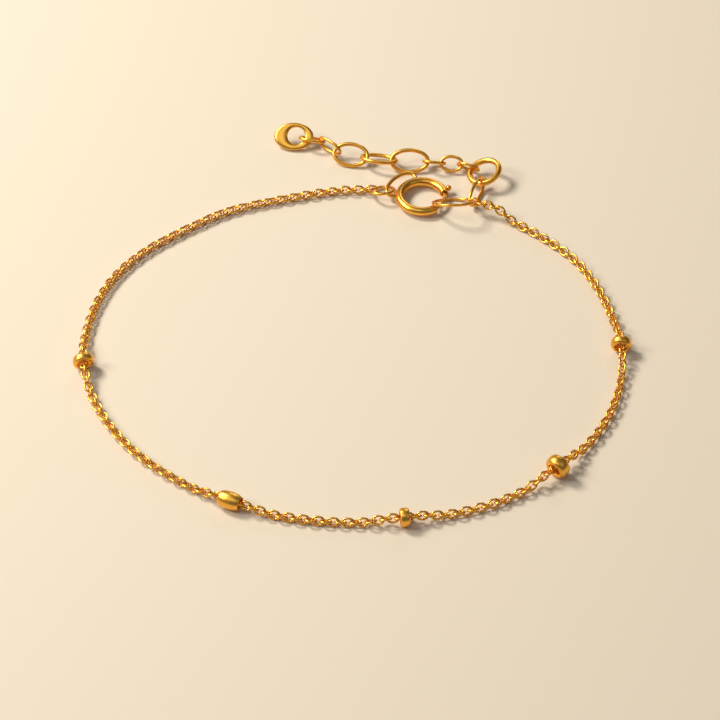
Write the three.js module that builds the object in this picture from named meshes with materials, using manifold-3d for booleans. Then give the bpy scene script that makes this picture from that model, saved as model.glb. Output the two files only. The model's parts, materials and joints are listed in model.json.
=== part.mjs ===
// A fine cable-chain bracelet: a closed loop of chain with five drilled beads, a spring-ring clasp between
// two jump rings, and an extender chain with an end tag. Millimetres and degrees, +Z up. The loop lies on
// the XY plane as it would on a table, with the clasp towards +Y.

import * as THREE from 'three';
import { mergeVertices } from 'three/addons/utils/BufferGeometryUtils.js';
import Module from 'manifold-3d';

const wasm = await Module();
wasm.setup();

const rows = (columns, values) =>
  values.map((row) => Object.fromEntries(columns.map((name, i) => [name, row[i]])));

// ---- Driving dimensions ----

// Centre line of the chain seen from above, from the left jump ring round the front to the hook ring.
const ROUTE = [
  [0.68, 26.33], [-2.6, 26.16], [-6.6, 25.3], [-14.3, 22.9], [-19.3, 19.7], [-24.0, 15.7],
  [-27.1, 11.0], [-28.8, 5.2], [-29.0, -0.8], [-27.5, -6.6], [-23.4, -13.2], [-17.3, -18.4],
  [-10.1, -21.9], [-2.3, -23.3], [5.7, -22.9], [13.4, -20.8], [20.0, -16.4], [24.9, -10.1],
  [27.0, -4.5], [27.5, 1.4], [26.0, 9.2], [23.4, 14.8], [19.7, 18.8], [16.5, 21.25], [15.1, 22.2],
  [13.3, 22.9],
];

const CHAIN = {
  diameter: 1.0, // room that the interlocking links take up round their centre line
  sides: 8,
  steps: 38, // along each half
  rest: 0.5, // height of the centre line where the chain lies on the table
  slope: 3.6, // length of chain that slopes up to a bead or a ring
  level: 1.2, // length of chain that runs level on each side of a bead's middle
  meetingGap: 0.3, // between the two halves, inside the middle bead
  heading: 0.5, // length over which the direction of an end is taken
};

const CHAIN_LINK = { length: 1.4, width: 1.2, wire: 0.26, steps: 12 };
const CHAIN_ENDS = {
  left: { height: 0.56, roll: 63 },
  right: { height: 1.58, roll: -55 },
};

// A bead's axis is turned by `side` and tipped up by `lift` from the chain's direction.
const BEADS = rows(['name', 'along', 'diameter', 'length', 'fullness', 'hole', 'side', 'lift'], [
  ['bead_1', 45.8, 2.25, 0.9, 0.5, 1.4, 7, -10],
  ['bead_2', 72.1, 1.85, 2.3, 0.9, 1.26, 0, 0],
  ['bead_3', 89.9, 1.95, 0.95, 0.4, 1.26, 0, 0],
  ['bead_4', 107.1, 2.5, 1.3, 0.5, 1.4, 6, 8],
  ['bead_5', 127.0, 2.2, 1.1, 0.8, 1.4, -9, 6],
]);
const MEETING_BEAD = BEADS[2];
const BEAD_SIDES = 16;
const BEAD_STEPS = 8; // across the curved outside

const CLASP = {
  x: 6.93, y: 25.0, z: 0.72,
  radius: 2.5, // of the tube's centre line
  tube: 1.0,
  bore: 0.72,
  sides: 10,
  steps: 34,
  tubeStart: 12, // azimuths: the opening runs from tubeEnd round to tubeStart
  tubeEnd: -56,
  boreTo: 130,
  socket: 12, // depth of the blind bore that the gate's tip enters
  overrun: 5, // by which both bores run out past the tube's ends
  slotFrom: 19, slotTo: 90, slotWidth: 0.42,
};
// The soldered eye, an arc of an oval. Its middle lies `reach` from the ring's middle, and it is tipped
// up about the tube's centre line.
const EYE = {
  span: 2.2, depth: 1.1, // half its width along the tube, and half its depth away from it
  wire: 0.42, reach: 3.0, azimuth: 141, tip: 10,
  from: -42, to: 222,
  sides: 6, steps: 20,
};
const GATE = {
  pin: 0.42, sides: 8, steps: 16,
  tip: -62, // azimuth of its free end when closed
  tail: 66,
  lug: 26, // azimuth of the thumb lug when closed
  lugWidth: 0.26, lugSpan: 7,
  knob: 0.32, knobReach: 0.8, // its rounded head: radius, and distance out from the pin
};

// Rings and links of round wire. Each lies in its own XY plane with its length along X, and is then
// rolled about its length, pitched, turned and moved to its middle.
const WIRE_RINGS = rows(['name', 'length', 'width', 'wire', 'x', 'y', 'z', 'yaw', 'pitch', 'roll'], [
  ['jump_ring', 3.0, 3.0, 0.36, 2.47, 25.85, 0.85, 3.6, -2.9, -25.1],
  ['hook_ring', 4.9, 4.9, 0.34, 10.36, 23.26, 1.41, 6.3, 1.6, -33.4],
  ['connector_link', 4.7, 2.1, 0.36, 13, 25.54, 1.01, 67.5, -2.1, 71.1],
  ['extender_ring', 4.05, 4.05, 0.66, 13.93, 28.43, 1.35, 6.5, -18.9, 2.7],
  ['extender_link_1', 2.8, 2.0, 0.36, 12.17, 29.73, 0.97, -22.9, -2.1, -59.3],
  ['extender_link_2', 2.8, 2.0, 0.36, 10.3, 30.26, 0.96, -7.1, -2.6, 42.2],
  ['extender_link_3', 2.8, 2.0, 0.36, 8.35, 30.46, 0.99, -2.2, 5.5, -41.8],
  ['extender_link_4', 4.6, 2.9, 0.45, 5.58, 30.63, 1.05, -2.6, -1.4, 41.8],
  ['extender_link_5', 4.4, 2.9, 0.45, 2.15, 31.01, 1.04, -12.1, -0.5, -22.4],
  ['extender_link_6', 4.3, 2.9, 0.45, -1.05, 31.76, 0.99, -13.3, -1.2, 37.5],
  ['extender_link_7', 3.6, 2.0, 0.36, -3.46, 33.1, 1.15, -41.6, -0.8, 94.3],
  ['tag_link', 3.2, 2.1, 0.36, -5.4, 34.32, 1.04, -9.7, 4.5, -30.8],
]);
const LINK_STEPS = 20;
const RING_STEPS = 28;
const WIRE_SIDES = 6;

const TAG = {
  length: 4.5, width: 3.2, thickness: 0.5, edge: 0.15, sides: 28,
  hole: 2.0, holeSides: 20, holeX: 0.27, holeY: 0.1,
  x: -7.51, y: 34.73, z: 1.14, yaw: -4.7, pitch: -2.4, roll: 37.1,
};

const GOLD = {
  chain: { color: 0xd79a3a, metalness: 1.0, roughness: 0.28 },
  bead: { color: 0xd9a143, metalness: 1.0, roughness: 0.42 },
  clasp: { color: 0xdaa03e, metalness: 1.0, roughness: 0.3 },
};

// ---- Geometry helpers ----

const radians = THREE.MathUtils.degToRad;

function polygon(radius, sides) {
  return Array.from({ length: sides }, (_, i) => {
    const angle = ((i + 0.5) / sides) * 2 * Math.PI;
    return new THREE.Vector2(radius * Math.cos(angle), radius * Math.sin(angle));
  });
}

function tube(path, diameter, sides, steps) {
  const section = new THREE.Shape(polygon(diameter / 2, sides));
  return new THREE.ExtrudeGeometry(section, { steps, extrudePath: path, bevelEnabled: false });
}

class Arc extends THREE.Curve {
  constructor(radius, from, to) {
    super();
    Object.assign(this, { radius, from, to });
  }

  getPoint(t, target = new THREE.Vector3()) {
    const angle = radians(THREE.MathUtils.lerp(this.from, this.to, t));
    return target.set(this.radius * Math.cos(angle), this.radius * Math.sin(angle), 0);
  }
}

class EyeArc extends THREE.Curve {
  getPoint(t, target = new THREE.Vector3()) {
    const angle = radians(THREE.MathUtils.lerp(EYE.from, EYE.to, t));
    const out = EYE.reach + EYE.depth * Math.sin(angle) - CLASP.radius;
    const tip = radians(EYE.tip);
    target.set(CLASP.radius + out * Math.cos(tip), EYE.span * Math.cos(angle), out * Math.sin(tip));
    return target.applyAxisAngle(new THREE.Vector3(0, 0, 1), radians(EYE.azimuth));
  }
}

// A slice of a flat ring, centred on z = 0.
function sector(inner, outer, from, to, height, curveSegments = 8) {
  const shape = new THREE.Shape();
  shape.absarc(0, 0, outer, radians(from), radians(to), false);
  shape.absarc(0, 0, inner, radians(to), radians(from), true);
  const geometry = new THREE.ExtrudeGeometry(shape, { depth: height, bevelEnabled: false, curveSegments });
  return geometry.translate(0, 0, -height / 2);
}

// A closed ring of round wire on an oval centre line, with outside sizes length by width.
function wireRing({ length, width, wire }, steps) {
  const a = (length - wire) / 2;
  const b = (width - wire) / 2;
  const mean = 2 * wire;
  const geometry = new THREE.TorusGeometry(mean, wire / 2, WIRE_SIDES, steps);
  const position = geometry.attributes.position;
  const normal = new THREE.Vector2();
  for (let i = 0; i < position.count; i += 1) {
    const angle = Math.atan2(position.getY(i), position.getX(i));
    const offset = Math.hypot(position.getX(i), position.getY(i)) - mean;
    normal.set(b * Math.cos(angle), a * Math.sin(angle)).normalize();
    const x = a * Math.cos(angle) + normal.x * offset;
    const y = b * Math.sin(angle) + normal.y * offset;
    position.setXY(i, x, y);
  }
  return geometry;
}

function toSolid(geometry) {
  const bare = geometry.clone();
  bare.deleteAttribute('normal');
  bare.deleteAttribute('uv');
  const merged = mergeVertices(bare, 1e-4);
  return new wasm.Manifold(new wasm.Mesh({
    numProp: 3,
    vertProperties: new Float32Array(merged.attributes.position.array),
    triVerts: new Uint32Array(merged.index.array),
  }));
}

function toGeometry(solid) {
  const { vertProperties, triVerts } = solid.getMesh();
  const geometry = new THREE.BufferGeometry();
  geometry.setAttribute('position', new THREE.BufferAttribute(vertProperties, 3));
  geometry.setIndex(new THREE.BufferAttribute(triVerts, 1));
  geometry.computeVertexNormals();
  return geometry;
}

const fuse = (first, ...others) =>
  toGeometry(others.reduce((solid, other) => solid.add(toSolid(other)), toSolid(first)));

const cut = (first, ...others) =>
  toGeometry(others.reduce((solid, other) => solid.subtract(toSolid(other)), toSolid(first)));

function namedMesh(name, geometry, finish) {
  const mesh = new THREE.Mesh(geometry, new THREE.MeshStandardMaterial(finish));
  mesh.name = name;
  return mesh;
}

// Rolls, pitches and turns a mesh about its middle, and moves the middle to its place.
function place(mesh, { x, y, z, yaw, pitch, roll }) {
  mesh.rotation.set(radians(roll), radians(pitch), radians(yaw), 'ZYX');
  mesh.position.set(x, y, z);
  return mesh;
}

// ---- Chain ----

const plan = new THREE.CatmullRomCurve3(ROUTE.map(([x, y]) => new THREE.Vector3(x, y, 0)));
plan.arcLengthDivisions = 800;
const chainLength = plan.getLength();

// Heights that the chain is held at: through the middle of each bead, and at the rings at its ends.
const HOLDS = [
  { along: 0, height: CHAIN_ENDS.left.height },
  ...BEADS.map(({ along, diameter }) => ({ along, height: diameter / 2 })),
  { along: chainLength, height: CHAIN_ENDS.right.height },
];

// Between them it lies on the table.
function chainHeight(along) {
  const rise = HOLDS.map((hold) => {
    const away = (Math.abs(along - hold.along) - CHAIN.level) / CHAIN.slope;
    return (hold.height - CHAIN.rest) * (1 - THREE.MathUtils.smoothstep(away, 0, 1));
  });
  return CHAIN.rest + Math.max(...rise);
}

function chainPoint(along, target = new THREE.Vector3()) {
  plan.getPointAt(along / chainLength, target);
  target.z = chainHeight(along);
  return target;
}

function chainDirection(along) {
  const half = CHAIN.heading / 2;
  return chainPoint(along + half).sub(chainPoint(along - half)).normalize();
}

class ChainStretch extends THREE.Curve {
  constructor(from, to) {
    super();
    Object.assign(this, { from, to });
  }

  getPoint(t, target = new THREE.Vector3()) {
    return chainPoint(THREE.MathUtils.lerp(this.from, this.to, t), target);
  }
}

// The last link of a half, which holds a jump ring, is a real one fused on its end.
function endLink(at, outward, roll) {
  const geometry = wireRing(CHAIN_LINK, CHAIN_LINK.steps);
  geometry.rotateX(radians(roll));
  geometry.rotateZ(Math.atan2(outward.y, outward.x));
  const reach = (CHAIN_LINK.length - CHAIN_LINK.wire) / 2;
  return geometry.translate(at.x + reach * outward.x, at.y + reach * outward.y, at.z);
}

function chainHalf(name, end, meeting, roll) {
  const body = tube(new ChainStretch(end, meeting), CHAIN.diameter, CHAIN.sides, CHAIN.steps);
  const at = chainPoint(end);
  const outward = at.clone().sub(chainPoint(end + Math.sign(meeting - end) * CHAIN.heading)).normalize();
  return namedMesh(name, fuse(body, endLink(at, outward, roll)), GOLD.chain);
}

function chain() {
  const { along } = MEETING_BEAD;
  return [
    chainHalf('chain_left', 0, along - CHAIN.meetingGap / 2, CHAIN_ENDS.left.roll),
    chainHalf('chain_right', chainLength, along + CHAIN.meetingGap / 2, CHAIN_ENDS.right.roll),
  ];
}

function beadAxis({ along, side, lift }) {
  const axis = chainDirection(along).applyAxisAngle(new THREE.Vector3(0, 0, 1), radians(side));
  axis.z += Math.tan(radians(lift));
  return axis.normalize();
}

// A drilled bead round the chain that passes through it.
function bead(row) {
  const { name, along, diameter, length, fullness, hole } = row;
  const profile = [];
  for (let i = 0; i <= BEAD_STEPS; i += 1) {
    const angle = Math.PI * (i / BEAD_STEPS - 0.5);
    const swell = Math.cos(angle) ** fullness;
    const radius = hole / 2 + ((diameter - hole) / 2) * swell;
    profile.push(new THREE.Vector2(radius, (length / 2) * Math.sin(angle)));
  }
  profile.push(profile[0].clone());
  const mesh = namedMesh(name, new THREE.LatheGeometry(profile, BEAD_SIDES), GOLD.bead);
  mesh.quaternion.setFromUnitVectors(new THREE.Vector3(0, 1, 0), beadAxis(row));
  mesh.position.copy(chainPoint(along));
  return mesh;
}

// ---- Clasp ----

// A hollow ring of tube with an opening, a slot for the thumb lug and a soldered eye.
function claspRing() {
  const { radius, tubeStart, tubeEnd, socket, overrun } = CLASP;
  const far = tubeEnd + 360;
  const shell = tube(new Arc(radius, tubeStart, far), CLASP.tube, CLASP.sides, CLASP.steps);
  const bore = tube(new Arc(radius, tubeStart - overrun, CLASP.boreTo), CLASP.bore, CLASP.sides, 16);
  const blind = tube(new Arc(radius, far - socket, far + overrun), CLASP.bore, CLASP.sides, 3);
  const slot = sector(radius, radius + CLASP.tube, CLASP.slotFrom, CLASP.slotTo, CLASP.slotWidth);
  const eye = tube(new EyeArc(), EYE.wire, EYE.sides, EYE.steps);
  return namedMesh('clasp_ring', cut(fuse(shell, eye), bore, blind, slot), GOLD.clasp);
}

// The sprung pin that closes the opening, with its thumb lug reaching out through the slot.
function claspGate() {
  const { radius } = CLASP;
  const pin = tube(new Arc(radius, GATE.tip, GATE.tail), GATE.pin, GATE.sides, GATE.steps);
  const half = GATE.lugSpan / 2;
  const neck = sector(radius, radius + GATE.knobReach, GATE.lug - half, GATE.lug + half, GATE.lugWidth, 2);
  const knob = new THREE.SphereGeometry(GATE.knob, 12, 8);
  const reach = radius + GATE.knobReach;
  knob.translate(reach * Math.cos(radians(GATE.lug)), reach * Math.sin(radians(GATE.lug)), 0);
  return namedMesh('clasp_gate', fuse(pin, neck, knob), GOLD.clasp);
}

function clasp() {
  const group = new THREE.Group();
  group.position.set(CLASP.x, CLASP.y, CLASP.z);
  group.add(claspRing(), claspGate());
  return group;
}

// ---- Rings, links and tag ----

function wirePiece(row) {
  const steps = row.length === row.width ? RING_STEPS : LINK_STEPS;
  return place(namedMesh(row.name, wireRing(row, steps), GOLD.chain), row);
}

// A flat oval with softened edges and an off-centre hole.
function endTag() {
  const { length, width, thickness, edge, hole, holeSides, holeX, holeY, sides } = TAG;
  const radius = length / 2;
  const half = thickness / 2;
  const profile = [
    [0, -half], [radius - edge, -half], [radius, -half + edge],
    [radius, half - edge], [radius - edge, half], [0, half],
  ].map(([x, y]) => new THREE.Vector2(x, y));
  const disc = new THREE.LatheGeometry(profile, sides).rotateX(radians(90)).scale(1, width / length, 1);
  const drill = new THREE.CylinderGeometry(hole / 2, hole / 2, 2 * thickness, holeSides).rotateX(radians(90));
  drill.translate(holeX, holeY, 0);
  return place(namedMesh('end_tag', cut(disc, drill), GOLD.clasp), TAG);
}

// ---- Assembly, with the origin under the middle of the whole bracelet ----

const bracelet = new THREE.Group();
bracelet.name = 'bracelet';
bracelet.add(...chain(), ...BEADS.map(bead), clasp(), ...WIRE_RINGS.map(wirePiece), endTag());
bracelet.updateMatrixWorld(true);

const extent = new THREE.Box3().setFromObject(bracelet, true);
const middle = extent.getCenter(new THREE.Vector3());
bracelet.position.set(-middle.x, -middle.y, -extent.min.z);
bracelet.updateMatrixWorld(true);

export default bracelet;
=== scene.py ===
import json
import math
import random
from bisect import bisect_right
from collections import namedtuple

import bmesh
import bpy
import numpy as np
from bpy.props import FloatProperty, FloatVectorProperty, IntProperty, PointerProperty
from mathutils import Euler, Matrix, Vector


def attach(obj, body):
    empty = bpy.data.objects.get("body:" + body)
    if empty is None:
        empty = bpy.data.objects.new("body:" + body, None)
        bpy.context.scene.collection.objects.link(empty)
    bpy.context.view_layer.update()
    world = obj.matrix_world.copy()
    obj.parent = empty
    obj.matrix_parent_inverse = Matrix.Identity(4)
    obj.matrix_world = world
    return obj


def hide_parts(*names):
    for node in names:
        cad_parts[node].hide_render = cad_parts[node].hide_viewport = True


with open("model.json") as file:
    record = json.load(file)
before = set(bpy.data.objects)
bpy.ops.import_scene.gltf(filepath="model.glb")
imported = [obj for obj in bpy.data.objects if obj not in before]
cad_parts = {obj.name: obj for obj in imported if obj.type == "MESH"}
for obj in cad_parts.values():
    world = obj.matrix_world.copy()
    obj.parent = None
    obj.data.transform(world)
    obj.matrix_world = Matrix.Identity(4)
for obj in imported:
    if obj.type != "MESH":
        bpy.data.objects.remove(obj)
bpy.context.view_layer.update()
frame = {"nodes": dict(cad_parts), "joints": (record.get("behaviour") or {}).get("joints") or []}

bl_info = {
    "name": "Cable Chain Bracelet",
    "version": (1, 0, 0),
    "blender": (4, 5, 0),
    "location": "3D View > Sidebar > Bracelet",
    "description": "Dresses the packed bracelet: real chain links, beads, clasp, extender and tag in gold",
    "category": "Add Mesh",
}

MM = 0.001  # a millimetre in the scene's metres
UP = Vector((0, 0, 1))
MIDDLE = Vector((0, 0, 0))

# The clasp's middle in the loop's own millimetres, in which the tables below are given. Its hinge stands
# there in the frame, which says where the loop's origin lies.
CLASP_MIDDLE = Vector((6.93, 25.0, 0.72))
LOOP_ORIGIN = Vector(frame["joints"][0]["pos_m"]) - CLASP_MIDDLE * MM

# Centre line of the chain seen from above, in millimetres, from the left jump ring round to the hook ring.
ROUTE = [
    (0.68, 26.33), (-2.6, 26.16), (-6.6, 25.3), (-14.3, 22.9), (-19.3, 19.7), (-24.0, 15.7),
    (-27.1, 11.0), (-28.8, 5.2), (-29.0, -0.8), (-27.5, -6.6), (-23.4, -13.2), (-17.3, -18.4),
    (-10.1, -21.9), (-2.3, -23.3), (5.7, -22.9), (13.4, -20.8), (20.0, -16.4), (24.9, -10.1),
    (27.0, -4.5), (27.5, 1.4), (26.0, 9.2), (23.4, 14.8), (19.7, 18.8), (16.5, 21.25), (15.1, 22.2),
    (13.3, 22.9),
]
END_HEIGHTS = (0.56, 1.58)  # of the chain at the left jump ring and at the hook ring
REST_HEIGHT = 0.5  # of the centre line where the chain lies on the floor
SLOPE = 3.6  # length of chain that slopes up to a bead or a ring
LEVEL = 1.2  # length of chain that runs level on each side of a bead's middle

# How far the pair of crossed links is turned about the chain, in degrees, at places along it in millimetres.
# At 0 both links of a pair lean, and at 45 or -45 one lies flat and the next stands upright.
TURNS = [
    (0, -18), (12, -42), (45, -45), (58, -45), (72, -76), (107, -80), (120, -88), (140, -94), (154, -100),
]

# Beads in millimetres. A low fullness gives a broad outside, and a high one tapers it towards its ends. The
# axis is turned sideways and tipped up, in degrees, from the chain's direction.
Bead = namedtuple("Bead", "along diameter length fullness hole side lift")
BEADS = {
    "bead_1": Bead(45.8, 2.25, 0.9, 0.5, 1.34, 7, -10),
    "bead_2": Bead(72.1, 1.85, 2.3, 1.5, 1.22, 0, 0),
    "bead_3": Bead(89.9, 1.95, 0.95, 0.4, 1.22, 0, 0),
    "bead_4": Bead(107.1, 2.5, 1.3, 0.55, 1.38, 6, 8),
    "bead_5": Bead(127.0, 2.2, 1.1, 1.0, 1.36, -9, 6),
}

# Rings and links of round wire: length, width and wire, in millimetres.
WIRE_RINGS = {
    "jump_ring": (3.0, 3.0, 0.36),
    "hook_ring": (4.9, 4.9, 0.34),
    "connector_link": (4.7, 2.1, 0.36),
    "extender_ring": (4.05, 4.05, 0.66),
    "extender_link_1": (2.8, 2.0, 0.36),
    "extender_link_2": (2.8, 2.0, 0.36),
    "extender_link_3": (2.8, 2.0, 0.36),
    "extender_link_4": (4.6, 2.9, 0.45),
    "extender_link_5": (4.4, 2.9, 0.45),
    "extender_link_6": (4.3, 2.9, 0.45),
    "extender_link_7": (3.6, 2.0, 0.36),
    "tag_link": (3.2, 2.1, 0.36),
}

# The end tag's middle in the loop's millimetres, and its roll, pitch and yaw in degrees.
TAG_PLACE = Vector((-7.51, 34.73, 1.14))
TAG_TURN = (37.1, -2.4, -4.7)

# Finishes of the gold. The spread is how much the roughness varies, the grain how many tool marks lie along
# a metre, and the depth how deep they are, in metres.
Finish = namedtuple("Finish", "roughness spread grain depth")
FINISHES = {
    "chain_gold": Finish(0.27, 0.16, 2600.0, 0.002 * MM),
    "satin_gold": Finish(0.36, 0.14, 1500.0, 0.003 * MM),
    "polished_gold": Finish(0.31, 0.12, 1200.0, 0.002 * MM),
}
CLOUD_GRAIN = 900.0  # colour clouds along a metre
SCUFF_GRAIN = 4200.0  # fine scuffs along a metre
MARK_STRENGTH = 0.6
FLOOR_ROUGHNESS = 0.85

# Studio lights, in metres and watts. Each faces the middle of the floor.
Light = namedtuple("Light", "place size power colour")
LIGHTS = {
    "key_light": Light((-0.26, 0.16, 0.32), 0.14, 1.8, (1.0, 0.93, 0.82)),
    "fill_light": Light((0.3, -0.2, 0.4), 0.3, 0.12, (1.0, 0.97, 0.93)),
    "back_light": Light((0.1, 0.45, 0.25), 0.2, 0.3, (1.0, 0.97, 0.92)),
    "side_light": Light((-0.34, -0.04, 0.3), 0.18, 0.9, (1.0, 0.95, 0.86)),
    "top_light": Light((-0.08, -0.18, 0.45), 0.25, 0.2, (1.0, 0.97, 0.92)),
}
ROOM_COLOUR = (0.8, 0.78, 0.75, 1)
ROOM_STRENGTH = 0.13


# ---- Settings in the sidebar ----

def millimetres(name, description, size):
    return FloatProperty(name=name, description=description, default=size * MM, unit="LENGTH")


def degrees(name, description, angle):
    return FloatProperty(
        name=name, description=description, default=math.radians(angle), subtype="ANGLE")


class ChainSizes(bpy.types.PropertyGroup):
    """Sizes of the cable chain's links."""

    length: millimetres("Link length", "Outside length of a link", 1.46)
    width: millimetres("Link width", "Outside width of a link", 1.08)
    wire: millimetres("Wire", "Diameter of the wire", 0.24)
    count: IntProperty(
        name="Links", description="Number of links between the jump ring and the hook ring", default=210)
    looseness: degrees("Looseness", "Most that a link is turned at random about the chain", 7)


class BeadSizes(bpy.types.PropertyGroup):
    """Sizes that the beads share."""

    rim: millimetres("Rim", "Width of the softened rim of the hole", 0.06)


class ClaspSizes(bpy.types.PropertyGroup):
    """Sizes of the spring-ring clasp. Angles run round from the right."""

    radius: millimetres("Radius", "Radius of the tube's centre line", 2.5)
    tube: millimetres("Tube", "Diameter of the tube", 1.0)
    wall: millimetres("Wall", "Thickness of its wall", 0.14)
    start: degrees("Tube start", "Where the tube starts", 12)
    end: degrees("Tube end", "Where the tube ends", 304)
    slot_from: degrees("Slot from", "Start of the thumb lug's slot", 19)
    slot_to: degrees("Slot to", "End of the thumb lug's slot", 90)
    pin: millimetres("Pin", "Diameter of the sprung pin", 0.42)
    tip: degrees("Pin tip", "Where the pin's free end is when closed", -62)
    tail: degrees("Pin tail", "Where the pin's hidden end is when closed", 66)
    lug: degrees("Lug", "Where the thumb lug is when closed", 26)
    lug_reach: millimetres("Lug reach", "From the pin to the middle of the thumb lug's head", 0.8)
    knob: millimetres("Knob", "Diameter of the thumb lug's head", 0.64)
    eye_span: millimetres("Eye span", "Half the eye's width along the tube", 2.2)
    eye_depth: millimetres("Eye depth", "Half the eye's depth away from the tube", 1.1)
    eye_wire: millimetres("Eye wire", "Diameter of the eye's wire", 0.42)
    eye_reach: millimetres("Eye reach", "From the ring's middle to the eye's", 3.0)
    eye_angle: degrees("Eye angle", "Where the eye is soldered on", 141)
    eye_tip: degrees("Eye tip", "How far the eye is tipped up", 10)
    eye_start: degrees("Eye start", "Where the eye's arc leaves the tube", -38)


class TagSizes(bpy.types.PropertyGroup):
    """Sizes of the end tag."""

    length: millimetres("Length", "Length of the oval", 4.5)
    width: millimetres("Width", "Width of the oval", 3.2)
    thickness: millimetres("Thickness", "Thickness of the metal", 0.5)
    hole: millimetres("Hole", "Diameter of the hole", 2.0)
    hole_x: millimetres("Hole along", "How far the hole is off centre along the tag", 0.27)
    hole_y: millimetres("Hole across", "How far the hole is off centre across the tag", 0.1)


class GoldColours(bpy.types.PropertyGroup):
    """Colours of the metal."""

    light: FloatVectorProperty(
        name="Light gold", description="The gold's usual colour", default=(0.95, 0.53, 0.095),
        subtype="COLOR", min=0, max=1)
    deep: FloatVectorProperty(
        name="Deep gold", description="The redder gold in its faint clouds", default=(0.88, 0.43, 0.06),
        subtype="COLOR", min=0, max=1)


class StageSizes(bpy.types.PropertyGroup):
    """The view, the floor and the lights."""

    distance: FloatProperty(
        name="Camera distance", description="From the loop's middle", default=0.3, unit="LENGTH")
    elevation: degrees("Camera elevation", "Above the floor", 45)
    lens: FloatProperty(name="Lens", description="Focal length in millimetres", default=142.5)
    floor: FloatProperty(name="Floor", description="Side of the floor", default=2.0, unit="LENGTH")
    floor_colour: FloatVectorProperty(
        name="Floor colour", description="Of the plain floor", default=(0.74, 0.66, 0.54),
        subtype="COLOR", min=0, max=1)


# ---- Mesh helpers ----

def loop_place(point):
    """A point of the loop's own millimetres, in the frame."""
    return LOOP_ORIGIN + Vector(point) * MM


def oval_point(half_length, half_width, angle):
    """A point of an oval that lies flat round the origin."""
    return Vector((half_length * math.cos(angle), half_width * math.sin(angle), 0))


def finished_mesh(name, bm):
    mesh = bpy.data.meshes.new(name)
    bm.to_mesh(mesh)
    bm.free()
    return mesh


def join(bm, other):
    """Adds another bmesh to this one."""
    mesh = finished_mesh("part", other)
    bm.from_mesh(mesh)
    bpy.data.meshes.remove(mesh)


def link_object(name, data):
    thing = bpy.data.objects.new(name, data)
    bpy.context.scene.collection.objects.link(thing)
    return thing


def add_piece(name, bm, material, nodes, body="root"):
    """Turns a finished bmesh into a smooth object that stands for CAD nodes and rides on their body."""
    mesh = finished_mesh(name, bm)
    mesh.shade_smooth()
    mesh.materials.append(material)
    piece = link_object(name, mesh)
    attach(piece, body)
    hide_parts(*nodes)


def turn_outwards(bm):
    """Makes the faces of a closed shape point outwards. Recalculating alone can leave a bent wire inside
    out, which its volume shows."""
    bmesh.ops.recalc_face_normals(bm, faces=bm.faces)
    if bm.calc_volume(signed=True) < 0:
        bmesh.ops.reverse_faces(bm, faces=bm.faces)


def close_ends(bm):
    """Closes the open ends of a bent wire, and returns the faces that do."""
    open_edges = [edge for edge in bm.edges if edge.is_boundary]
    return bmesh.ops.holes_fill(bm, edges=open_edges)["faces"]


def bent_wire(radius, wire, start, sweep, steps, sides):
    """Round wire bent round the origin, from a start angle through a sweep, with so many steps along it and
    sides round it. A full turn closes it."""
    bm = bmesh.new()
    across = Matrix.Rotation(math.pi / 2, 4, "Z") @ Matrix.Rotation(math.pi / 2, 4, "Y")
    section = bmesh.ops.create_circle(bm, segments=sides, radius=wire / 2, matrix=across)["verts"]
    bmesh.ops.translate(bm, verts=section, vec=(radius, 0, 0))
    bmesh.ops.rotate(bm, verts=section, matrix=Matrix.Rotation(start, 3, "Z"))
    bmesh.ops.spin(
        bm, geom=bm.verts[:] + bm.edges[:], cent=MIDDLE, axis=UP, angle=sweep, steps=steps,
        use_merge=sweep == 2 * math.pi)
    return bm


def wire_ring(length, width, wire, steps, sides, start=0.0):
    """Round wire on an oval centre line, lying flat round the origin, length along X. It is a full ring, or
    with a start angle an arc from there round to the same angle on the other side, with closed ends."""
    reach = (length - wire) / 2
    rise = (width - wire) / 2
    middle = (reach + rise) / 2
    sweep = math.pi - 2 * start if start else 2 * math.pi
    bm = bent_wire(middle, wire, start, sweep, steps, sides)
    for vert in bm.verts:
        angle = math.atan2(vert.co.y, vert.co.x)
        outward = oval_point(rise, reach, angle).normalized()
        offset = vert.co.xy.length - middle
        vert.co = oval_point(reach, rise, angle) + outward * offset + UP * vert.co.z
    if start:
        close_ends(bm)
    turn_outwards(bm)
    return bm


def resting_place(node):
    """The matrix that takes a ring lying flat round the origin to the place of a CAD ring, whose longest
    and shortest spreads give its length and its axis."""
    points = np.array([vert.co for vert in frame["nodes"][node].data.vertices])
    centre = points.mean(0)
    _, axes = np.linalg.eigh(np.cov((points - centre).T))
    axis, _, along = (Vector(column) for column in axes.T)
    turn = Matrix((along, axis.cross(along), axis)).transposed()
    return Matrix.Translation(centre) @ turn.to_4x4()


# ---- The chain's centre line ----

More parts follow.
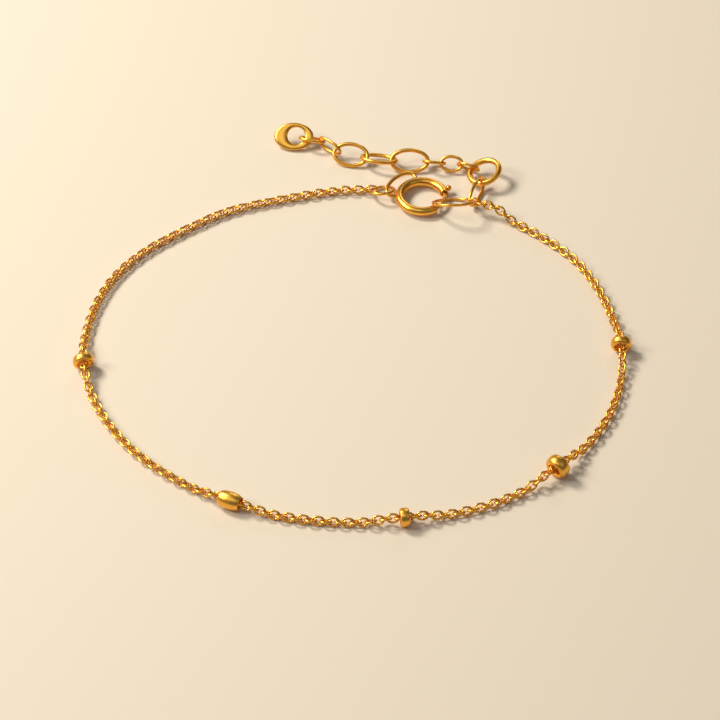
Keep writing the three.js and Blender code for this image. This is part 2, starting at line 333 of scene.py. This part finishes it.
class ChainLine:
    """The smooth line through the route's points, measured along its length in metres."""

    SAMPLES = 40  # in each stretch between two points
    HEADING_REACH = 0.25  # how far to each side of a place its heading is taken

    def __init__(self):
        points = [Vector((x, y, 0)) for x, y in ROUTE]
        points = [2 * points[0] - points[1], *points, 2 * points[-1] - points[-2]]
        self.points = []
        for stretch in zip(points, points[1:], points[2:], points[3:]):
            self.points += [self.between(*stretch, i / self.SAMPLES) for i in range(self.SAMPLES)]
        self.points.append(points[-2])
        self.marks = [0.0]
        for a, b in zip(self.points, self.points[1:]):
            self.marks.append(self.marks[-1] + (b - a).length)
        self.length = self.marks[-1]

    @staticmethod
    def between(before, start, end, after, share):
        """A point of a centripetal Catmull-Rom curve, that share of the way from start to end."""
        pairs = ((before, start), (start, end), (end, after))
        first, gap, last = (math.sqrt((b - a).length) for a, b in pairs)
        leave = (start - before) / first - (end - before) / (first + gap) + (end - start) / gap
        arrive = (end - start) / gap - (after - start) / (gap + last) + (after - end) / last
        leave, arrive = leave * gap, arrive * gap
        square = -3 * start + 3 * end - 2 * leave - arrive
        cube = 2 * start - 2 * end + leave + arrive
        return start + leave * share + square * share ** 2 + cube * share ** 3

    def plan(self, along):
        """Place on the floor plan at a length along the line, which runs on straight past its ends."""
        i = min(max(bisect_right(self.marks, along) - 1, 0), len(self.points) - 2)
        start, end = self.points[i], self.points[i + 1]
        return start + (end - start).normalized() * (along - self.marks[i])

    def lift(self, along):
        """How far the chain is lifted off its rest by the beads and by the rings at its ends."""
        holds = [(0, END_HEIGHTS[0]), (self.length, END_HEIGHTS[1])]
        holds += [(bead.along, bead.diameter / 2) for bead in BEADS.values()]
        lifts = []
        for place, height in holds:
            away = min(max((abs(along - place) - LEVEL) / SLOPE, 0), 1)
            lifts.append((height - REST_HEIGHT) * (1 - away * away * (3 - 2 * away)))
        return max(lifts)

    def point(self, along, rest=REST_HEIGHT):
        """Place in the frame at a length along the line, for links whose middles rest at a height."""
        place = self.plan(along)
        place.z = max(rest, REST_HEIGHT + self.lift(along))
        return loop_place(place)

    def heading(self, along):
        ahead = self.point(along + self.HEADING_REACH)
        return (ahead - self.point(along - self.HEADING_REACH)).normalized()


chain_line = ChainLine()


def turned_along(heading, roll=0.0):
    """A rotation whose X runs along a heading, Z as upright as it can be, then rolled about the heading."""
    side = UP.cross(heading).normalized()
    turn = Matrix((heading, side, heading.cross(side))).transposed()
    return turn.to_4x4() @ Matrix.Rotation(roll, 4, "X")


def turn_at(along):
    """The turn of the crossed pairs of links at a length along the chain, in radians."""
    places, turns = zip(*TURNS)
    return math.radians(float(np.interp(along, places, turns)))


# ---- Shader helpers ----

class Value:
    """A socket that carries a number. Python's operators on it add Math nodes."""

    def __init__(self, shader, socket):
        self.shader = shader
        self.socket = socket

    def _math(self, operation, first, second):
        node = self.shader.add("ShaderNodeMath", {"operation": operation}, {0: first, 1: second})
        return Value(self.shader, node.outputs[0])

    def __add__(self, other):
        return self._math("ADD", self, other)

    __radd__ = __add__

    def __mul__(self, other):
        return self._math("MULTIPLY", self, other)

    __rmul__ = __mul__

    def __sub__(self, other):
        return self._math("SUBTRACT", self, other)

    def __rsub__(self, other):
        return self._math("SUBTRACT", other, self)


class Shader:
    """A material's node tree, with one way to add any node."""

    def __init__(self, name):
        self.material = bpy.data.materials.new(name)
        self.material.use_nodes = True
        self.tree = self.material.node_tree
        self.surface = self.tree.nodes["Principled BSDF"]

    def add(self, kind, settings=None, sockets=None):
        """Adds a node, makes its settings, then fills or links its sockets."""
        node = self.tree.nodes.new(kind)
        for key, value in (settings or {}).items():
            setattr(node, key, value)
        self.feed(node, sockets or {})
        return node

    def feed(self, node, sockets):
        for key, value in sockets.items():
            if isinstance(value, Value):
                value = value.socket
            if isinstance(value, bpy.types.NodeSocket):
                self.tree.links.new(value, node.inputs[key])
            else:
                node.inputs[key].default_value = value

    def noise(self, place, scale, detail):
        node = self.add("ShaderNodeTexNoise", {}, {"Vector": place, "Scale": scale, "Detail": detail})
        return Value(self, node.outputs["Fac"])

    def mix_colours(self, share, first, second):
        """A blend of two colours, which are the Mix node's inputs 6 and 7. Its output 2 is the blend."""
        node = self.add(
            "ShaderNodeMix", {"data_type": "RGBA"},
            {"Factor": share, 6: (*first, 1), 7: (*second, 1)})
        return node.outputs[2]

    def object_place(self):
        coordinates = self.add("ShaderNodeTexCoord").outputs["Object"]
        return self.add("ShaderNodeMapping", {}, {"Vector": coordinates}).outputs[0]

    def bump(self, height, strength, depth):
        node = self.add(
            "ShaderNodeBump", {}, {"Height": height, "Strength": strength, "Distance": depth})
        return node.outputs[0]


def gold(name):
    """Yellow gold in one of the finishes: faint colour clouds, fine scuffs and soft tool marks."""
    finish = FINISHES[name]
    colours = bpy.context.scene.bracelet_gold
    shader = Shader(name)
    place = shader.object_place()
    clouds = shader.noise(place, CLOUD_GRAIN, 3.0)
    scuffs = shader.noise(place, SCUFF_GRAIN, 4.0)
    marks = shader.noise(place, finish.grain, 2.0)
    shader.feed(shader.surface, {
        "Metallic": 1.0,
        "Base Color": shader.mix_colours(clouds, colours.light, colours.deep),
        "Roughness": finish.roughness + (scuffs - 0.5) * finish.spread,
        "Normal": shader.bump(marks, MARK_STRENGTH, finish.depth),
    })
    return shader.material


def floor_paint():
    shader = Shader("floor_paint")
    colour = bpy.context.scene.bracelet_stage.floor_colour
    shader.feed(shader.surface, {"Base Color": (*colour, 1), "Roughness": FLOOR_ROUGHNESS})
    return shader.material


# ---- Operators, one for each piece or group of like pieces ----

class BRACELET_OT_add_chain(bpy.types.Operator):
    """Lay the interlocking links of the cable chain along its line"""

    bl_idname = "bracelet.add_chain"
    bl_label = "Add Chain"

    STEPS = 14
    SIDES = 6
    CROSS = math.pi / 4  # half the angle between neighbouring links
    SEED = 5

    def execute(self, context):
        sizes = context.scene.bracelet_chain
        link = wire_ring(sizes.length, sizes.width, sizes.wire, self.STEPS, self.SIDES)
        shape = finished_mesh("chain_link", link)
        chance = random.Random(self.SEED)
        reach = (sizes.length - sizes.wire) / 2 / MM
        span = chain_line.length + 2 * reach
        spread = (sizes.width - sizes.wire) / 2 / MM
        bm = bmesh.new()
        for i in range(sizes.count):
            along = span * i / (sizes.count - 1) - reach
            turn = turn_at(along)
            lean = max(abs(math.sin(turn + self.CROSS)), abs(math.sin(turn - self.CROSS)))
            rest = spread * lean + sizes.wire / 2 / MM
            side = -1 if i % 2 == 0 else 1
            roll = turn + side * self.CROSS + chance.uniform(-1, 1) * sizes.looseness
            before = len(bm.verts)
            bm.from_mesh(shape)
            bm.verts.ensure_lookup_table()
            place = Matrix.Translation(chain_line.point(along, rest)) @ turned_along(
                chain_line.heading(along), roll)
            bmesh.ops.transform(bm, matrix=place, verts=bm.verts[before:])
        bpy.data.meshes.remove(shape)
        add_piece("cable_chain", bm, gold("chain_gold"), ["chain_left", "chain_right"])
        return {"FINISHED"}


class BRACELET_OT_add_beads(bpy.types.Operator):
    """Thread the drilled beads on the chain"""

    bl_idname = "bracelet.add_beads"
    bl_label = "Add Beads"

    CURVE = 18  # points across the outside
    STEPS = 56

    def execute(self, context):
        softness = context.scene.bracelet_beads.rim
        material = gold("satin_gold")
        for node, bead in BEADS.items():
            bm = self.turned_bead(bead, softness)
            axis = Matrix.Rotation(math.radians(bead.side), 3, "Z") @ chain_line.heading(bead.along)
            axis.z += math.tan(math.radians(bead.lift))
            place = Matrix.Translation(chain_line.point(bead.along)) @ turned_along(axis.normalized())
            bmesh.ops.transform(bm, matrix=place, verts=bm.verts)
            add_piece(f"drilled_{node}", bm, material, [node])
        return {"FINISHED"}

    def turned_bead(self, bead, softness):
        """A bead round the X axis: the outline of its half section, spun."""
        half = bead.length * MM / 2
        bore = bead.hole * MM / 2
        rim = bore + softness
        rise = bead.diameter * MM / 2 - rim
        outline = [(bore, softness - half)]
        for i in range(self.CURVE + 1):
            angle = math.pi * (i / self.CURVE - 0.5)
            swell = math.cos(angle) ** bead.fullness if 0 < i < self.CURVE else 0
            outline.append((rim + rise * swell, half * math.sin(angle)))
        outline.append((bore, half - softness))
        bm = bmesh.new()
        verts = [bm.verts.new((x, 0, radius)) for radius, x in outline]
        edges = [bm.edges.new(pair) for pair in zip(verts, verts[1:] + verts[:1])]
        bmesh.ops.spin(
            bm, geom=verts + edges, cent=MIDDLE, axis=(1, 0, 0), angle=2 * math.pi, steps=self.STEPS,
            use_merge=True)
        turn_outwards(bm)
        return bm


class BRACELET_OT_add_clasp_ring(bpy.types.Operator):
    """Bend the clasp's slotted tube and solder on its eye"""

    bl_idname = "bracelet.add_clasp_ring"
    bl_label = "Add Clasp Ring"

    SIDES = 28
    STEPS = 146
    SLOT_FACES = 4  # faces of the section that the slot takes out
    SHARP = math.radians(60)  # edges that turn more than this are rims
    RIM = 0.03 * MM
    EYE_SIDES = 16
    EYE_STEPS = 56

    def execute(self, context):
        sizes = context.scene.bracelet_clasp
        bm = self.tube(sizes)
        join(bm, self.eye(sizes))
        bmesh.ops.translate(bm, verts=bm.verts, vec=loop_place(CLASP_MIDDLE))
        add_piece("spring_ring", bm, gold("polished_gold"), ["clasp_ring"])
        return {"FINISHED"}

    def eye(self, sizes):
        """An arc of wire whose ends run into the tube, tipped up about the tube's centre line."""
        wire = sizes.eye_wire
        bm = wire_ring(
            2 * sizes.eye_span + wire, 2 * sizes.eye_depth + wire, wire, self.EYE_STEPS, self.EYE_SIDES,
            sizes.eye_start)
        tip = Matrix.Rotation(sizes.eye_tip, 4, "X")
        turn = Matrix.Rotation(sizes.eye_angle - math.pi / 2, 4, "Z")
        out = Matrix.Translation((0, sizes.radius, 0))
        back = Matrix.Translation((0, sizes.eye_reach - sizes.radius, 0))
        bmesh.ops.transform(bm, matrix=turn @ out @ tip @ back, verts=bm.verts)
        return bm

    def tube(self, sizes):
        """A thin-walled tube with the slot that the thumb lug slides in."""
        sweep = sizes.end - sizes.start
        bm = bent_wire(sizes.radius, sizes.tube, sizes.start, sweep, self.STEPS, self.SIDES)
        half_angle = math.pi * self.SLOT_FACES / self.SIDES
        half_height = sizes.tube / 2 * math.sin(half_angle)
        slot = []
        for face in bm.faces:
            middle = face.calc_center_median()
            angle = math.atan2(middle.y, middle.x)
            outside = middle.xy.length > sizes.radius and abs(middle.z) < half_height
            if outside and sizes.slot_from < angle < sizes.slot_to:
                slot.append(face)
        bmesh.ops.delete(bm, geom=slot, context="FACES")
        bmesh.ops.recalc_face_normals(bm, faces=bm.faces)
        bmesh.ops.solidify(bm, geom=bm.faces[:], thickness=sizes.wall)
        turn_outwards(bm)
        rims = [edge for edge in bm.edges if edge.calc_face_angle(0) > self.SHARP]
        bmesh.ops.bevel(
            bm, geom=rims, offset=self.RIM, affect="EDGES", segments=2, profile=0.5, material=-1)
        return bm


class BRACELET_OT_add_clasp_gate(bpy.types.Operator):
    """Make the sprung pin that closes the clasp, with its thumb lug"""

    bl_idname = "bracelet.add_clasp_gate"
    bl_label = "Add Clasp Gate"

    SIDES = 18
    STEPS = 64
    END_ROUNDING = 0.3  # share of the pin's diameter
    NECK_RADII = (0.15 * MM, 0.13 * MM)  # at the pin and at the head
    NECK_SQUEEZE = 0.85  # height of the neck for its width
    NECK_SIDES = 16

    def execute(self, context):
        sizes = context.scene.bracelet_clasp
        sweep = sizes.tail - sizes.tip
        bm = bent_wire(sizes.radius, sizes.pin, sizes.tip, sweep, self.STEPS, self.SIDES)
        rims = {edge for face in close_ends(bm) for edge in face.edges}
        bmesh.ops.bevel(
            bm, geom=list(rims), offset=sizes.pin * self.END_ROUNDING, affect="EDGES", segments=4,
            profile=0.5, material=-1)
        turn_outwards(bm)
        join(bm, self.lug(sizes))
        bmesh.ops.translate(bm, verts=bm.verts, vec=loop_place(CLASP_MIDDLE))
        add_piece("clasp_pin", bm, gold("polished_gold"), ["clasp_gate"], "gate")
        return {"FINISHED"}

    def lug(self, sizes):
        """A neck that reaches out through the slot, with a round head."""
        bm = bmesh.new()
        reach = sizes.lug_reach
        bmesh.ops.create_uvsphere(
            bm, u_segments=24, v_segments=16, radius=sizes.knob / 2, matrix=Matrix.Translation((reach, 0, 0)))
        outward = Matrix.Rotation(math.pi / 2, 4, "Y")
        inner, outer = self.NECK_RADII
        neck = bmesh.ops.create_cone(
            bm, cap_ends=True, segments=self.NECK_SIDES, radius1=inner, radius2=outer, depth=reach,
            matrix=Matrix.Translation((reach / 2, 0, 0)) @ outward)
        bmesh.ops.scale(bm, verts=neck["verts"], vec=(1, 1, self.NECK_SQUEEZE))
        bmesh.ops.translate(bm, verts=bm.verts, vec=(sizes.radius, 0, 0))
        bmesh.ops.rotate(bm, verts=bm.verts, matrix=Matrix.Rotation(sizes.lug, 3, "Z"))
        return bm


class BRACELET_OT_add_rings(bpy.types.Operator):
    """Bend the jump rings and the extender's links from round wire"""

    bl_idname = "bracelet.add_rings"
    bl_label = "Add Rings and Links"

    STEPS = 64
    SIDES = 18

    def execute(self, context):
        material = gold("polished_gold")
        for node, sizes in WIRE_RINGS.items():
            bm = wire_ring(*(size * MM for size in sizes), self.STEPS, self.SIDES)
            bmesh.ops.transform(bm, matrix=resting_place(node), verts=bm.verts)
            add_piece(f"wire_{node}", bm, material, [node])
        return {"FINISHED"}


class BRACELET_OT_add_tag(bpy.types.Operator):
    """Cut the end tag with its off-centre hole"""

    bl_idname = "bracelet.add_tag"
    bl_label = "Add End Tag"

    STEPS = 96
    SIDES = 24
    FLATNESS = 0.8  # 1 gives a round section, and less a flatter face with a tighter edge

    def execute(self, context):
        sizes = context.scene.bracelet_tag
        bm = wire_ring(sizes.length, sizes.length, sizes.thickness, self.STEPS, self.SIDES)
        middle = (sizes.length - sizes.thickness) / 2
        half = sizes.thickness / 2
        hole_middle = Vector((sizes.hole_x, sizes.hole_y, 0))
        for vert in bm.verts:
            angle = math.atan2(vert.co.y, vert.co.x)
            across = self.flatten((vert.co.xy.length - middle) / half)
            inside = hole_middle + oval_point(sizes.hole / 2, sizes.hole / 2, angle)
            outside = oval_point(sizes.length / 2, sizes.width / 2, angle)
            up = UP * half * self.flatten(vert.co.z / half)
            vert.co = inside.lerp(outside, (1 + across) / 2) + up
        turn = Euler([math.radians(angle) for angle in TAG_TURN]).to_matrix().to_4x4()
        place = Matrix.Translation(loop_place(TAG_PLACE)) @ turn
        bmesh.ops.transform(bm, matrix=place, verts=bm.verts)
        add_piece("oval_tag", bm, gold("polished_gold"), ["end_tag"])
        return {"FINISHED"}

    def flatten(self, share):
        """Moves a place on a round section, from -1 to 1, out towards that of a flatter one."""
        return math.copysign(min(abs(share), 1) ** self.FLATNESS, share)


class BRACELET_OT_add_stage(bpy.types.Operator):
    """Set up the floor, the soft studio lights and the camera"""

    bl_idname = "bracelet.add_stage"
    bl_label = "Add Stage"

    CLIP_START = 10 * MM

    def execute(self, context):
        sizes = context.scene.bracelet_stage
        self.add_floor(sizes)
        for name, light in LIGHTS.items():
            self.add_light(name, light)
        world = bpy.data.worlds.new("studio")
        world.use_nodes = True
        room = world.node_tree.nodes["Background"].inputs
        room["Color"].default_value = ROOM_COLOUR
        room["Strength"].default_value = ROOM_STRENGTH
        context.scene.world = world
        context.scene.view_settings.view_transform = "Standard"
        context.scene.camera = self.add_camera(sizes)
        return {"FINISHED"}

    def add_floor(self, sizes):
        bm = bmesh.new()
        bmesh.ops.create_grid(bm, x_segments=1, y_segments=1, size=sizes.floor / 2)
        mesh = finished_mesh("floor", bm)
        mesh.materials.append(floor_paint())
        link_object("floor", mesh)

    def add_light(self, name, light):
        lamp = bpy.data.lights.new(name, "AREA")
        lamp.shape = "DISK"
        lamp.size = light.size
        lamp.energy = light.power
        lamp.color = light.colour
        self.aim(link_object(name, lamp), Vector(light.place), MIDDLE)

    def add_camera(self, sizes):
        lens = bpy.data.cameras.new("camera")
        lens.lens = sizes.lens
        lens.clip_start = self.CLIP_START
        camera = link_object("camera", lens)
        target = Vector((LOOP_ORIGIN.x, LOOP_ORIGIN.y, 0))
        back = Vector((0, -math.cos(sizes.elevation), math.sin(sizes.elevation)))
        self.aim(camera, target + back * sizes.distance, target)
        return camera

    def aim(self, thing, place, target):
        thing.location = place
        thing.rotation_euler = (target - place).to_track_quat("-Z", "Y").to_euler()


OPERATORS = (
    BRACELET_OT_add_stage,
    BRACELET_OT_add_chain,
    BRACELET_OT_add_beads,
    BRACELET_OT_add_clasp_ring,
    BRACELET_OT_add_clasp_gate,
    BRACELET_OT_add_rings,
    BRACELET_OT_add_tag,
)


SETTINGS = {
    "bracelet_chain": ChainSizes,
    "bracelet_beads": BeadSizes,
    "bracelet_clasp": ClaspSizes,
    "bracelet_tag": TagSizes,
    "bracelet_gold": GoldColours,
    "bracelet_stage": StageSizes,
}


class BRACELET_PT_pieces(bpy.types.Panel):
    """The bracelet's pieces and sizes"""

    bl_label = "Bracelet"
    bl_idname = "BRACELET_PT_pieces"
    bl_space_type = "VIEW_3D"
    bl_region_type = "UI"
    bl_category = "Bracelet"

    def draw(self, context):
        for operator in OPERATORS:
            self.layout.operator(operator.bl_idname)
        for name in SETTINGS:
            settings = getattr(context.scene, name)
            column = self.layout.column(align=True)
            for key in settings.bl_rna.properties.keys():
                if key not in ("rna_type", "name"):
                    column.prop(settings, key)


def register():
    for name, group in SETTINGS.items():
        bpy.utils.register_class(group)
        setattr(bpy.types.Scene, name, PointerProperty(type=group))
    for operator in OPERATORS:
        bpy.utils.register_class(operator)
    bpy.utils.register_class(BRACELET_PT_pieces)


def unregister():
    bpy.utils.unregister_class(BRACELET_PT_pieces)
    for operator in reversed(OPERATORS):
        bpy.utils.unregister_class(operator)
    for name, group in reversed(SETTINGS.items()):
        delattr(bpy.types.Scene, name)
        bpy.utils.unregister_class(group)


def main():
    register()
    for operator in OPERATORS:
        family, name = operator.bl_idname.split(".")
        getattr(getattr(bpy.ops, family), name)()


if __name__ == "__main__":
    main()
